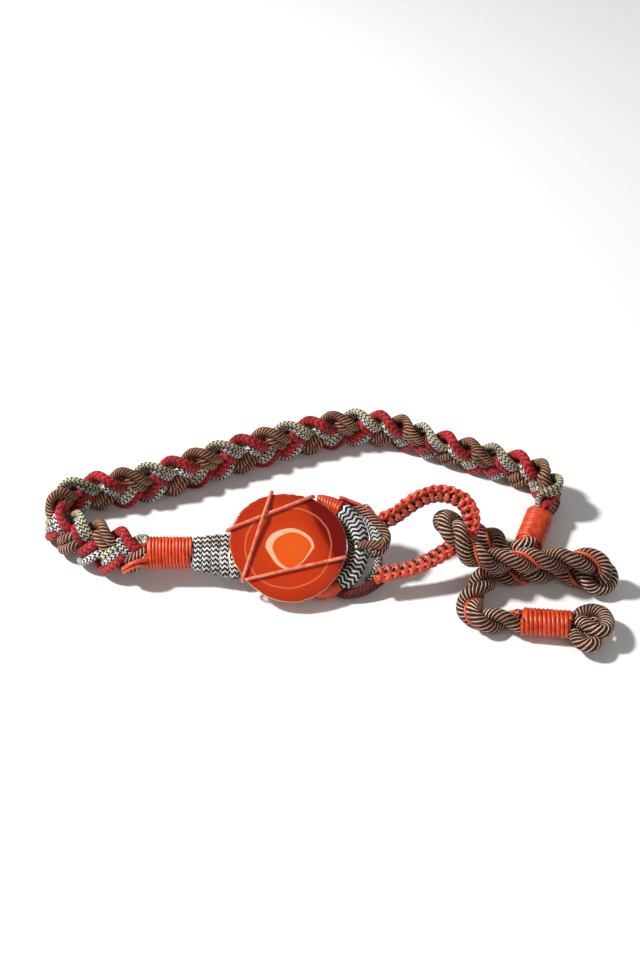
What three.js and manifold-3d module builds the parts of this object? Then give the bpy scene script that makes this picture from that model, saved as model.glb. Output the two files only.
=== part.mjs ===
// A plaited rope belt with an agate slice, laid down in its own oval. Millimetres, +Z up.
// The front of the belt, with the stone, lies towards -Y and leans back.
import * as THREE from 'three';
import { mergeVertices } from 'three/addons/utils/BufferGeometryUtils.js';
import Module from 'manifold-3d';

const wasm = await Module();
wasm.setup();

// Clearance between pieces that touch
const gap = 0.3;

// How the belt lies
const loopWidth = 372;
const loopDepth = 145;
const frontLean = 55;
const knottedLean = 60;
const rad = THREE.MathUtils.degToRad;

// Stone
const stoneWidth = 85.5;
const stoneHeight = 80;
const stoneThick = 6;
const stoneChamfer = 1.2;
const stoneWaver = 1;

// Plaited band
const bandWidth = 35;
const bandThick = 17;
const bundleWidth = 12;
const bundleThick = 6;
const plaitPitch = 57;
const bandTaper = 0.66;
const taperLength = 24;
const bundleSides = 6;
const stepsPerPitch = 8;
const plaitClear = 0.8;
const squarerPlait = 0.1;
const straighterPlait = 1 / 12;
const brownPhase = 0.56;

// Lace windings at the ends of the plait and of the tail
const frontWhip = { length: 33.5, width: 24, thick: 15, turns: 14 };
const backWhip = { length: 33, width: 21, thick: 19, turns: 16 };
const tailWhip = { length: 36, width: 21, thick: 18, turns: 12 };
const laceGroove = 0.9;
const whipSides = 12;

// Broad cord wrapped round the core beside the stone
const panelLength = 33.4;
const panelFlare = 1.44;
const panelSlope = 2.4;
const panelTurns = 5;
const panelGroove = 1.1;

// Flat bundle of cords behind the stone
const coreHeight = 32;
const coreThick = 12;
const coreInset = 8;

// Cords that bow round the right side of the stone
const collarCord = 13;
const collarOuterCord = 12.5;
const collarSpread = 37;
const collarBulge = 15;
const collarLift = 2;
const collarTuck = 5;
const stubSpread = 57;
const outerTop = 30;
const outerBottom = -4.8;
const collarClear = 1.8;

// Thin laces over the stone
const laceThick = 2.6;

// Knotted fastening loop
const loopLength = 62;
const loopRise = 60;
const loopBand = 12;
const loopBandThick = 10;
const hitchPitch = 6;
const hitchGroove = 0.9;

// Twisted tail
const ropeThick = 18;
const ropeSides = 8;
const knotCord = 10;

// Where the front of the belt lies, from the middle of the oval on the floor
const frontMiddle = { x: -22.4, y: -94.2 };
const knottedMiddle = { x: -22.4, y: -94, z: 27 };

const stoneBack = coreThick / 2 + gap;
const frontDrop = -2.3;

// Solids and meshes

function toSolid(geometry) {
  const bare = geometry.clone();
  bare.deleteAttribute('normal');
  bare.deleteAttribute('uv');
  const merged = mergeVertices(bare, 1e-3);
  return new wasm.Manifold(new wasm.Mesh({
    numProp: 3,
    vertProperties: merged.attributes.position.array,
    triVerts: merged.index.array,
  }));
}

function toGeometry(solid) {
  const { vertProperties, triVerts } = solid.getMesh();
  const geometry = new THREE.BufferGeometry();
  geometry.setAttribute('position', new THREE.BufferAttribute(vertProperties, 3));
  geometry.setIndex(new THREE.BufferAttribute(triVerts, 1));
  return geometry;
}

function mesh(name, geometry, color, roughness) {
  const piece = new THREE.Mesh(geometry, new THREE.MeshStandardMaterial({ color, roughness }));
  piece.name = name;
  return piece;
}

function ovalShape(width, thick, sides) {
  const shape = new THREE.Shape();
  const corner = Math.PI / sides;
  shape.setFromPoints(Array.from({ length: sides }, (_, i) => {
    const turn = corner * (2 * i + 1);
    return new THREE.Vector2(width / 2 * Math.cos(turn), thick / 2 * Math.sin(turn));
  }));
  return shape;
}

function toVector({ x, y, z }) {
  return new THREE.Vector3(x, y, z);
}

function smoothCurve(points) {
  return new THREE.CatmullRomCurve3(points.map(toVector), false, 'centripetal');
}

// Moves a straight piece, made along +X, onto a path: its Y goes to the path's side and its Z to the
// path's face, both shrunk towards the ends where the path says so.
function layAlong(geometry, path) {
  const place = geometry.attributes.position;
  const from = new THREE.Vector3();
  for (let i = 0; i < place.count; i++) {
    from.fromBufferAttribute(place, i);
    const { point, side, face, size } = path.at(from.x);
    point.addScaledVector(side, from.y * size).addScaledVector(face, from.z * size);
    place.setXYZ(i, point.x, point.y, point.z);
  }
  return geometry;
}

// A path in space with a side direction that leans by a named angle at each of its points
class LeaningPath {
  constructor(rows, size = () => 1) {
    this.curve = smoothCurve(rows);
    this.curve.arcLengthDivisions = 1600;
    this.leans = rows.map((r) => r.lean);
    this.length = this.curve.getLength();
    this.size = size;
  }

  at(distance) {
    const share = THREE.MathUtils.clamp(distance / this.length, 0, 1);
    const point = this.curve.getPointAt(share);
    const along = this.curve.getTangentAt(share);
    const row = this.curve.getUtoTmapping(share) * (this.leans.length - 1);
    const before = Math.min(Math.floor(row), this.leans.length - 2);
    const lean = rad(THREE.MathUtils.lerp(this.leans[before], this.leans[before + 1], row - before));
    const inward = new THREE.Vector3(along.y, -along.x, 0).normalize();
    const up = new THREE.Vector3().crossVectors(inward, along).normalize();
    const side = up.clone().multiplyScalar(Math.cos(lean)).addScaledVector(inward, Math.sin(lean));
    const face = new THREE.Vector3().crossVectors(along, side).normalize();
    return { point, side, face, size: this.size(distance, this.length) };
  }
}

// Plait: each bundle weaves from edge to edge and over and under, and is pressed flat where it crosses

const sideSwing = (bandWidth - bundleWidth) / 2;
const faceSwing = (bandThick - bundleThick) / 2;

class PlaitedLine extends THREE.Curve {
  constructor(length, phase) {
    super();
    this.length = length;
    this.phase = phase;
    this.arcLengthDivisions = 2000;
  }

  getPoint(share, target = new THREE.Vector3()) {
    const overrun = plaitPitch / 4;
    const x = THREE.MathUtils.lerp(-overrun, this.length + overrun, share);
    const turn = 2 * Math.PI * (x / plaitPitch + this.phase);
    const swing = (Math.sin(turn) - straighterPlait * Math.sin(3 * turn)) / (1 + straighterPlait);
    const lift = Math.sin(2 * turn) + squarerPlait * Math.sin(6 * turn);
    return target.set(x, sideSwing * swing, -faceSwing * lift);
  }

  computeFrenetFrames(segments) {
    const frames = { tangents: [], normals: [], binormals: [] };
    const face = new THREE.Vector3(0, 0, 1);
    for (let i = 0; i <= segments; i++) {
      const along = this.getTangentAt(i / segments);
      const side = new THREE.Vector3().crossVectors(face, along).normalize();
      frames.tangents.push(along);
      frames.normals.push(side);
      frames.binormals.push(new THREE.Vector3().crossVectors(along, side).normalize());
    }
    return frames;
  }
}

function bundleAlong(path, phase, extra) {
  const { length } = path;
  const section = ovalShape(bundleWidth + extra, bundleThick + extra, bundleSides);
  const steps = Math.round(length / plaitPitch * stepsPerPitch);
  const extrudePath = new PlaitedLine(length, phase);
  const swept = new THREE.ExtrudeGeometry(section, { steps, curveSegments: 1, extrudePath });
  const ends = new THREE.BoxGeometry(length, 2 * bandWidth, 2 * bandThick).translate(length / 2, 0, 0);
  const straight = toSolid(swept).intersect(toSolid(ends));
  return toSolid(layAlong(toGeometry(straight), path));
}

function plaitBundles(path) {
  const phases = [brownPhase, brownPhase - 1 / 3, brownPhase - 2 / 3];
  return phases.map((phase, i) => {
    let bundle = bundleAlong(path, phase, 0);
    for (const earlier of phases.slice(0, i)) {
      bundle = bundle.subtract(bundleAlong(path, earlier, 2 * plaitClear));
    }
    return toGeometry(bundle);
  });
}

// A rod along +X, from 0 to its length, with one round rib for each turn of cord
function ribbedRod({ length, width, thick, turns, groove, sides, flare = 1, slope = 0 }) {
  const profile = [new THREE.Vector2(0, 0)];
  const low = 1 - 2 * groove / thick;
  for (let i = 0; i < turns; i++) {
    profile.push(new THREE.Vector2(low, i / turns * length));
    profile.push(new THREE.Vector2(1, (i + 0.5) / turns * length));
  }
  profile.push(new THREE.Vector2(low, length));
  profile.push(new THREE.Vector2(0, length));
  const rod = new THREE.LatheGeometry(profile, sides);
  rod.rotateZ(-Math.PI / 2);
  const place = rod.attributes.position;
  for (let i = 0; i < place.count; i++) {
    const share = place.getX(i) / length;
    const grow = 1 + (flare - 1) * share;
    place.setY(i, place.getY(i) * width / 2 * grow - slope * share);
    place.setZ(i, place.getZ(i) * thick / 2);
  }
  return rod;
}

// A plain cord of round or oval section along points
function cordAlong(points, width, thick, steps, sides = 8) {
  const extrudePath = smoothCurve(points);
  return new THREE.ExtrudeGeometry(ovalShape(width, thick, sides), { steps, curveSegments: 1, extrudePath });
}

// Stone: a slice with an uneven round outline and chamfered rims

function stoneReach(turn) {
  const waver = stoneWaver * (Math.sin(turn) - 1.1 * Math.sin(2 * turn) + Math.sin(3 * turn) - 1);
  return {
    x: (stoneWidth / 2 + waver) * Math.cos(turn),
    y: (stoneHeight / 2 + waver) * Math.sin(turn),
  };
}

function agateSlice() {
  const sides = 44;
  const outline = Array.from({ length: sides }, (_, i) => {
    const { x, y } = stoneReach(2 * Math.PI * i / sides);
    return new THREE.Vector2(x, y);
  });
  const slice = new THREE.ExtrudeGeometry(new THREE.Shape(outline), {
    depth: stoneThick - 2 * stoneChamfer,
    bevelEnabled: true,
    bevelThickness: stoneChamfer,
    bevelSize: stoneChamfer,
    bevelOffset: -stoneChamfer,
    bevelSegments: 1,
  });
  return slice.translate(0, 0, stoneBack + stoneChamfer);
}

// Laces: each runs straight over the stone's face, between two turns of its rim in degrees, and turns
// down over the rim at both ends

const faceLift = stoneBack + stoneThick + gap + laceThick / 2;
const rimClear = 1.3 + laceThick / 2;

function lacePoints(startTurn, endTurn, { bump = 0, bumpAt = 0.5, tucked = true } = {}) {
  const start = stoneReach(rad(startTurn));
  const end = stoneReach(rad(endTurn));
  const slant = Math.sin(rad(Math.abs(endTurn - startTurn)) / 2);
  const shareOf = (out) => out / slant / Math.hypot(end.x - start.x, end.y - start.y);
  const at = (share, z) => ({
    x: THREE.MathUtils.lerp(start.x, end.x, share),
    y: THREE.MathUtils.lerp(start.y, end.y, share),
    z,
  });
  const overRim = [[-2, stoneBack - gap - laceThick / 2], [rimClear - 0.4, stoneBack - 0.5],
    [rimClear, stoneBack + stoneThick / 2], [0.4, faceLift - 0.2]];
  const before = overRim.map(([out, z]) => at(-shareOf(out), z));
  const after = overRim.map(([out, z]) => at(1 + shareOf(out), z)).reverse();
  const humps = [[-0.09, 0.72], [0, 1], [0.09, 0.72]];
  const between = humps.map(([away, share]) => at(bumpAt + away, faceLift + bump * share));
  const [begin, finish] = tucked ? [before, after] : [[], [after[0]]];
  return [...begin, at(0.06, faceLift), ...between, at(0.8, faceLift), at(0.94, faceLift), ...finish];
}

function lace(points) {
  return cordAlong(points, laceThick, laceThick, 22, 6);
}

// Core behind the stone: straight sides and a round right end, concentric with the stone

const coreReach = stoneWidth / 2 - 2.5;
const coreStart = -stoneWidth / 2 + coreInset;

function corePanel() {
  const half = coreHeight / 2;
  const turn = Math.asin(half / coreReach);
  const shape = new THREE.Shape();
  shape.moveTo(coreStart + gap, -half);
  shape.lineTo(coreReach * Math.cos(turn), -half);
  shape.absarc(0, 0, coreReach, -turn, turn, false);
  shape.lineTo(coreStart + gap, half);
  return new THREE.ExtrudeGeometry(shape, { depth: coreThick, bevelEnabled: false, curveSegments: 6 })
    .translate(0, 0, -coreThick / 2);
}

// Collar: cords on one arc round the stone, which slips behind the stone at both ends

const collarReach = stoneWidth / 2 + gap + collarCord / 2 + collarClear;
const collarUnder = stoneBack - gap - collarCord / 2;
const collarProud = 1.5;
const outerReach = collarReach + (collarCord + collarOuterCord) / 2 * Math.cos(Math.PI / 8) + 2 * gap;

class CollarLine extends THREE.Curve {
  constructor(fromTurn, toTurn, reach = collarReach, proud = collarProud) {
    super();
    Object.assign(this, { fromTurn, toTurn, reach, proud });
  }

  getPoint(share, target = new THREE.Vector3()) {
    const turn = rad(THREE.MathUtils.lerp(this.fromTurn, this.toTurn, share));
    const tucked = 1 - Math.cos(turn);
    const reach = this.reach - 2 * collarBulge * tucked;
    return target.set(reach * Math.cos(turn), collarLift + reach * Math.sin(turn),
      THREE.MathUtils.lerp(this.proud, collarUnder, Math.min(1, collarTuck * tucked)));
  }
}

function collarCordPiece(line, thick) {
  const section = ovalShape(thick, thick, 8);
  return new THREE.ExtrudeGeometry(section, { steps: 4, curveSegments: 1, extrudePath: line });
}

// Knotted loop: a table of its middle line, as shares of its length and rise, in its own leaning plane
const loopRows = [
  { along: -0.050, rise: 0.286 },
  { along: 0.110, rise: 0.365 },
  { along: 0.292, rise: 0.503 },
  { along: 0.495, rise: 0.610 },
  { along: 0.695, rise: 0.625 },
  { along: 0.884, rise: 0.538 },
  { along: 0.978, rise: 0.353 },
  { along: 0.944, rise: 0.175 },
  { along: 0.794, rise: 0.028 },
  { along: 0.629, rise: -0.078 },
  { along: 0.444, rise: -0.190 },
  { along: 0.245, rise: -0.265 },
  { along: 0.002, rise: -0.317 },
  { along: -0.150, rise: -0.355 },
];
const loopStart = outerReach + collarOuterCord / 2;

function macrameLoop() {
  const curve = smoothCurve(loopRows.map((r) => ({
    x: loopStart + r.along * loopLength, y: r.rise * loopRise, z: 0,
  })));
  curve.arcLengthDivisions = 800;
  const length = curve.getLength();
  const turns = Math.round(length / hitchPitch);
  const rod = ribbedRod({
    length, width: loopBand, thick: loopBandThick, turns, groove: hitchGroove, sides: 8,
  });
  const face = new THREE.Vector3(0, 0, 1);
  return layAlong(rod, {
    at(distance) {
      const share = THREE.MathUtils.clamp(distance / length, 0, 1);
      const side = new THREE.Vector3().crossVectors(face, curve.getTangentAt(share)).normalize();
      return { point: curve.getPointAt(share), side, face, size: 1 };
    },
  });
}

// Middle line of the plaited band, from the front winding round the back to the back winding, as
// shares of the loop's width and depth; height is the share of the band's width, lean in degrees
const bandRows = [
  { x: -0.385, y: -0.640, height: 0.60, lean: 46 },
  { x: -0.436, y: -0.585, height: 0.56, lean: 40 },
  { x: -0.492, y: -0.500, height: 0.54, lean: 28 },
  { x: -0.526, y: -0.395, height: 0.51, lean: 16 },
  { x: -0.519, y: -0.285, height: 0.51, lean: 8 },
  { x: -0.470, y: -0.215, height: 0.51, lean: 3 },
  { x: -0.400, y: -0.180, height: 0.51, lean: 0 },
  { x: -0.325, y: -0.115, height: 0.51, lean: 0 },
  { x: -0.235, y: -0.005, height: 0.51, lean: 0 },
  { x: -0.135, y: 0.110, height: 0.51, lean: 0 },
  { x: -0.035, y: 0.210, height: 0.51, lean: 2 },
  { x: 0.070, y: 0.282, height: 0.51, lean: 5 },
  { x: 0.158, y: 0.258, height: 0.51, lean: 10 },
  { x: 0.232, y: 0.162, height: 0.51, lean: 14 },
  { x: 0.305, y: 0.072, height: 0.51, lean: 14 },
  { x: 0.380, y: -0.005, height: 0.51, lean: 10 },
  { x: 0.442, y: -0.090, height: 0.51, lean: 4 },
  { x: 0.470, y: -0.205, height: 0.50, lean: 0 },
];

const whipStart = coreStart - panelLength - gap - frontWhip.length;

// The path starts and ends in line with the two windings that close the plait
function bandPath(front, back) {
  const rows = bandRows.map((r) => ({
    x: r.x * loopWidth, y: r.y * loopDepth, z: r.height * bandWidth, lean: r.lean,
  }));
  const lead = 9;
  const start = [
    { x: front.x, y: front.y, z: front.z, lean: frontLean },
    { x: front.x - lead, y: front.y, z: front.z, lean: frontLean },
  ];
  const beforeBack = back.start.clone().addScaledVector(back.along, -lead);
  const end = [beforeBack, back.start].map(({ x, y, z }) => ({ x, y, z, lean: 0 }));
  const size = (distance, length) => {
    const near = Math.min(distance, length - distance) / taperLength;
    return THREE.MathUtils.lerp(bandTaper, 1, THREE.MathUtils.smoothstep(near, 0, 1));
  };
  return new LeaningPath([...start, ...rows, ...end], size);
}

// Tail: the middle line of the twisted rope, chosen by hand, from the back winding to the tail winding
const tailPoints = [
  { x: 152.0, y: -79.8, z: 12.7 },
  { x: 150.8, y: -82.8, z: 12.7 },
  { x: 146.0, y: -86.0, z: 12.2 },
  { x: 139.5, y: -84.5, z: 11.0 },
  { x: 132.5, y: -78.0, z: 9.8 },
  { x: 126.5, y: -71.0, z: 9.3 },
  { x: 119.5, y: -65.5, z: 9.2 },
  { x: 111.5, y: -62.0, z: 9.4 },
  { x: 102.0, y: -60.5, z: 12.5 },
  { x: 94.5, y: -64.5, z: 20.0 },
  { x: 91.0, y: -71.5, z: 29.0 },
  { x: 91.0, y: -79.5, z: 36.5 },
  { x: 91.8, y: -88.0, z: 43.0 },
  { x: 95.0, y: -97.5, z: 44.5 },
  { x: 100.5, y: -105.0, z: 40.5 },
  { x: 108.5, y: -109.5, z: 34.0 },
  { x: 118.0, y: -109.8, z: 29.5 },
  { x: 129.0, y: -108.8, z: 27.8 },
  { x: 142.0, y: -107.9, z: 27.6 },
  { x: 157.0, y: -107.7, z: 27.6 },
  { x: 170.0, y: -108.0, z: 27.6 },
  { x: 180.0, y: -108.0, z: 27.6 },
  { x: 189.5, y: -107.7, z: 27.0 },
  { x: 197.2, y: -107.5, z: 24.0 },
  { x: 202.5, y: -109.0, z: 18.5 },
  { x: 204.0, y: -112.0, z: 12.0 },
  { x: 198.5, y: -113.5, z: 9.3 },
  { x: 188.0, y: -108.5, z: 9.2 },
  { x: 177.0, y: -102.0, z: 9.2 },
  { x: 164.0, y: -101.0, z: 9.2 },
  { x: 150.0, y: -104.5, z: 9.2 },
  { x: 136.0, y: -104.2, z: 9.2 },
  { x: 124.5, y: -105.5, z: 9.2 },
  { x: 116.5, y: -111.5, z: 9.2 },
  { x: 112.5, y: -120.0, z: 9.2 },
  { x: 107.3, y: -128.0, z: 9.2 },
  { x: 104.3, y: -136.5, z: 9.2 },
  { x: 107.0, y: -143.8, z: 9.2 },
  { x: 114.0, y: -147.2, z: 9.2 },
  { x: 122.5, y: -147.6, z: 9.2 },
  { x: 130.8, y: -147.2, z: 9.3 },
  { x: 138.3, y: -147.9, z: 9.5 },
];
const tailSteps = 74;
const backWhipHeading = -112;

// A winding in line with the rope, with its far end's place
function winding(whip, start, along) {
  const rod = ribbedRod({ ...whip, groove: laceGroove, sides: whipSides });
  const side = new THREE.Vector3(0, 0, 1).cross(along).normalize();
  const face = new THREE.Vector3().crossVectors(along, side);
  layAlong(rod, { at: (d) => ({ point: start.clone().addScaledVector(along, d), side, face, size: 1 }) });
  return { rod, side, finish: start.clone().addScaledVector(along, whip.length) };
}

// End of the tail: the rope doubled back on itself beyond its winding, as shares of the winding's width
const knotRows = [
  { out: 0.02, across: 0.27 },
  { out: 0.17, across: 0.28 },
  { out: 0.40, across: 0.50 },
  { out: 0.74, across: 0.62 },
  { out: 1.06, across: 0.42 },
  { out: 1.17, across: -0.04 },
  { out: 1.03, across: -0.44 },
  { out: 0.72, across: -0.66 },
  { out: 0.40, across: -0.54 },
  { out: 0.17, across: -0.28 },
  { out: 0.02, across: -0.27 },
];

// The belt

const colours = {
  rust: 0x8a4e2a, cream: 0xd8cfa0, crimson: 0xb01e28, lace: 0xe2491f, pale: 0xf08a6c,
  stone: 0xc8320f, zebra: 0x8c8c88,
};

function frontPieces() {
  const front = new THREE.Group();
  front.rotation.x = rad(90 - frontLean);
  const whip = ribbedRod({ ...frontWhip, groove: laceGroove, sides: whipSides });
  front.add(mesh('whipping_front', whip.translate(whipStart, frontDrop, 0), colours.lace, 0.45));
  const panel = ribbedRod({
    length: panelLength - gap, width: frontWhip.width, thick: coreThick, turns: panelTurns,
    groove: panelGroove, sides: whipSides, flare: panelFlare, slope: panelSlope,
  }).translate(whipStart + frontWhip.length + gap, frontDrop, 0);
  front.add(mesh('wrap_panel', panel, colours.zebra, 0.7));
  front.add(mesh('core_panel', corePanel(), colours.zebra, 0.8));
  front.add(mesh('agate_slice', agateSlice(), colours.stone, 0.2));
  const crossing = { bump: laceThick + gap, bumpAt: 0.278 };
  front.add(mesh('lace_side', lace(lacePoints(107, 216, crossing)), colours.pale, 0.45));
  front.add(mesh('lace_upper', lace(lacePoints(161, 68)), colours.pale, 0.45));
  front.add(mesh('lace_lower', lace(lacePoints(219, 350, { tucked: false })), colours.pale, 0.45));
  const faceTurn = THREE.MathUtils.radToDeg(gap / collarReach);
  const arcs = [
    ['lace_stub_top', stubSpread, collarSpread + faceTurn, colours.lace],
    ['collar_cord_upper', collarSpread, faceTurn / 2, colours.zebra],
    ['collar_cord_lower', -faceTurn / 2, -collarSpread, colours.zebra],
    ['lace_stub_bottom', -collarSpread - faceTurn, -stubSpread, colours.lace],
  ];
  for (const [name, from, to, colour] of arcs) {
    front.add(mesh(name, collarCordPiece(new CollarLine(from, to), collarCord), colour, 0.6));
  }
  const outer = new CollarLine(outerTop, outerBottom, outerReach, 0);
  front.add(mesh('collar_cord_outer', collarCordPiece(outer, collarOuterCord), colours.rust, 0.7));
  front.position.set(frontMiddle.x, frontMiddle.y, 0);
  front.updateMatrixWorld(true);
  front.position.z = -new THREE.Box3().setFromObject(front, true).min.z;
  front.updateMatrixWorld(true);
  return front;
}

function knottedPieces() {
  const knotted = new THREE.Group();
  knotted.rotation.x = rad(90 - knottedLean);
  knotted.position.set(knottedMiddle.x, knottedMiddle.y, knottedMiddle.z);
  knotted.add(mesh('macrame_loop', macrameLoop(), colours.lace, 0.5));
  return knotted;
}

function plaitedPieces(path) {
  const bundles = plaitBundles(path);
  const names = ['braid_strand_brown', 'braid_strand_cream', 'braid_strand_red'];
  const bundleColours = [colours.rust, colours.cream, colours.crimson];
  return names.map((name, i) => mesh(name, bundles[i], bundleColours[i], 0.75));
}

function backWinding() {
  const heading = rad(backWhipHeading);
  const along = new THREE.Vector3(Math.cos(heading), Math.sin(heading), 0);
  const whipFrom = toVector(tailPoints[0]).addScaledVector(along, -gap - backWhip.length);
  const { rod } = winding(backWhip, whipFrom, along);
  return { rod, along, start: whipFrom.clone().addScaledVector(along, -gap) };
}

function tailPieces() {
  const [beforeLast, last] = tailPoints.slice(-2).map(toVector);
  const along = last.clone().sub(beforeLast).normalize();
  const start = last.clone().addScaledVector(along, gap);
  const whip = winding(tailWhip, start, along);
  const knotPoints = knotRows.map((r) => whip.finish.clone()
    .addScaledVector(along, gap + r.out * tailWhip.width)
    .addScaledVector(whip.side, r.across * tailWhip.width));
  return [
    mesh('tail_rope', cordAlong(tailPoints, ropeThick, ropeThick, tailSteps, ropeSides), colours.rust, 0.75),
    mesh('whipping_tail', whip.rod, colours.lace, 0.45),
    mesh('tail_knot', cordAlong(knotPoints, knotCord, knotCord, 18), colours.rust, 0.75),
  ];
}

const belt = new THREE.Group();
const front = frontPieces();
const back = backWinding();
const frontFace = new THREE.Vector3(whipStart - gap, frontDrop, 0).applyMatrix4(front.matrixWorld);
belt.add(front, knottedPieces(), ...plaitedPieces(bandPath(frontFace, back)));
belt.add(mesh('whipping_back', back.rod, colours.lace, 0.45), ...tailPieces());

// The origin is under the middle of the whole belt, on the surface that it lies on
belt.updateMatrixWorld(true);
const box = new THREE.Box3().setFromObject(belt, true);
belt.position.set(-(box.min.x + box.max.x) / 2, -(box.min.y + box.max.y) / 2, -box.min.z);
belt.updateMatrixWorld(true);

export default belt;
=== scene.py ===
import math
import bpy
import bmesh
import numpy as np
from mathutils import Matrix, Vector


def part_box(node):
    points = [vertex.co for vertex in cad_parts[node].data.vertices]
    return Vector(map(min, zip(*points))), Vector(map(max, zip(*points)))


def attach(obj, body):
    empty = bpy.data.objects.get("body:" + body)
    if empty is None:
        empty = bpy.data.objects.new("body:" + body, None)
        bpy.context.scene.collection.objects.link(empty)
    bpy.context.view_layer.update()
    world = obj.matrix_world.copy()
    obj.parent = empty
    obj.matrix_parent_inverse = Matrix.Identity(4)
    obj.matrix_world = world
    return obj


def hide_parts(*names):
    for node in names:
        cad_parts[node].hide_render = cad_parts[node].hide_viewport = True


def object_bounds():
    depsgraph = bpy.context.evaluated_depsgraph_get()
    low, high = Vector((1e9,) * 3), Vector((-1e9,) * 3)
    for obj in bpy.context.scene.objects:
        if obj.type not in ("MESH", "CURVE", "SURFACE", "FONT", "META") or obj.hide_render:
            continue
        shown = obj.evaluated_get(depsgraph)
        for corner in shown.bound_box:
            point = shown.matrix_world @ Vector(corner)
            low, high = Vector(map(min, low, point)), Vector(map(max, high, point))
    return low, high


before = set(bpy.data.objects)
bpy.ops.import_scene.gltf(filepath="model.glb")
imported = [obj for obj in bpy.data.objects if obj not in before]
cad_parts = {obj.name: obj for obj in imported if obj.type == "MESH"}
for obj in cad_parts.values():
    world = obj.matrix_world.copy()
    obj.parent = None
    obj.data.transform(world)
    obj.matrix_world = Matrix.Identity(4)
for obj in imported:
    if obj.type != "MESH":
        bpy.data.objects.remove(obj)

cad_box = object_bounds()
MM = 0.001

# Sizes of the belt, in millimetres and degrees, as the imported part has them
STONE_WIDTH, STONE_HEIGHT, STONE_THICK, STONE_WAVER = 85.5, 80.0, 6.0, 1.0
BAND_WIDTH, BAND_THICK, BUNDLE_WIDTH, BUNDLE_THICK = 35.0, 17.0, 12.0, 6.0
PLAIT_PITCH, BAND_TAPER, TAPER_LENGTH, SQUARER, STRAIGHTER = 57.0, 0.66, 24.0, 0.1, 1 / 12
FRONT_WHIP = {"length": 33.5, "width": 24.0, "thick": 15.0, "turns": 14}
BACK_WHIP = {"length": 33.0, "width": 21.0, "thick": 19.0, "turns": 16}
TAIL_WHIP = {"length": 36.0, "width": 21.0, "thick": 18.0, "turns": 12}
BACK_WHIP_HEADING = math.radians(-112)
PANEL_LENGTH, PANEL_FLARE, PANEL_SLOPE, PANEL_TURNS = 33.4, 1.44, 2.4, 5
CORE_HEIGHT, CORE_THICK = 32.0, 12.0
BROWN_PHASE = 0.56
LOOP_LENGTH, LOOP_RISE, LOOP_BAND, LOOP_THICK, HITCH_PITCH = 62.0, 60.0, 12.0, 10.0, 6.0
ROPE_THICK, ROPE_TWIST = 18.0, 43.5
GAP = 0.3
FRONT_LEAN, LOOP_LEAN = math.radians(55), math.radians(60)
LOOP_WIDTH, LOOP_DEPTH = 372.0, 145.0
STONE_BACK = CORE_THICK / 2 + GAP
STONE_FACE = STONE_BACK + STONE_THICK
UNDER_STONE = 8
CORE_START = -STONE_WIDTH / 2 + UNDER_STONE
WHIP_START = CORE_START - PANEL_LENGTH - GAP - FRONT_WHIP["length"]
FRONT_DROP = -2.3

# Middle of the flat bundle behind the stone, the oval's place on the floor and the knotted loop's place,
# with the directions along, across and out of the stone and of the loop
core_low, core_high = (np.array(corner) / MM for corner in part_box("core_panel"))
FRONT = (core_low + core_high) / 2
FRONT[0] = core_low[0] - CORE_START - GAP
OVAL = np.array([FRONT[0] + 22.4, FRONT[1] + 94.2, 0.0])
KNOTTED = OVAL + np.array([-22.4, -94.0, 27.0])
FRONT_AXES = np.array([[1, 0, 0], [0, math.sin(FRONT_LEAN), math.cos(FRONT_LEAN)],
                       [0, -math.cos(FRONT_LEAN), math.sin(FRONT_LEAN)]])
LOOP_AXES = np.array([[1, 0, 0], [0, math.sin(LOOP_LEAN), math.cos(LOOP_LEAN)],
                      [0, -math.cos(LOOP_LEAN), math.sin(LOOP_LEAN)]])


# Camera: the photograph's viewing angle, about 45 degrees down, for a 640 by 960 frame

def aim_camera():
    distance, elevation = 1000.0, math.radians(45)
    data = bpy.data.cameras.new("camera")
    data.lens = 48
    data.sensor_width = 36
    camera = bpy.data.objects.new("camera", data)
    bpy.context.collection.objects.link(camera)
    offset = np.array([0, -math.cos(elevation), math.sin(elevation)]) * distance
    camera.location = Vector((OVAL + offset) * MM)
    camera.rotation_euler = (math.pi / 2 - elevation, 0, 0)
    bpy.context.scene.camera = camera


aim_camera()


# Lines that cords follow

def unit(vectors):
    return vectors / np.maximum(np.linalg.norm(vectors, axis=-1, keepdims=True), 1e-9)


def sampled(at, along, rows):
    """The rows of three numbers that belong to the places in along, read off at other places."""
    return np.stack([np.interp(at, along, rows[:, i]) for i in range(3)], axis=1)


class Line:
    """Evenly spaced points with a side direction at each, in millimetres."""

    def __init__(self, points, sides=None, spacing=1.0):
        points = np.asarray(points, float)
        gaps = np.linalg.norm(np.diff(points, axis=0), axis=1)
        along = np.concatenate([[0], np.cumsum(gaps)])
        self.length = along[-1]
        count = max(4, int(round(self.length / spacing)) + 1)
        self.at = np.linspace(0, self.length, count)
        self.points = sampled(self.at, along, points)
        self.tangents = unit(np.gradient(self.points, axis=0))
        if sides is None:
            self.sides = self.carried()
        else:
            spread = sampled(self.at, along, np.asarray(sides))
            spread -= self.tangents * np.sum(spread * self.tangents, axis=1, keepdims=True)
            self.sides = unit(spread)
        self.faces = np.cross(self.tangents, self.sides)

    def carried(self):
        """Sides that turn as little as they can from one point to the next."""
        first = np.cross([0, 0, 1], self.tangents[0])
        if np.linalg.norm(first) < 0.1:
            first = np.cross([1, 0, 0], self.tangents[0])
        sides = [unit(first)]
        for tangent in self.tangents[1:]:
            side = sides[-1] - tangent * np.dot(sides[-1], tangent)
            sides.append(unit(side))
        return np.array(sides)


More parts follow.
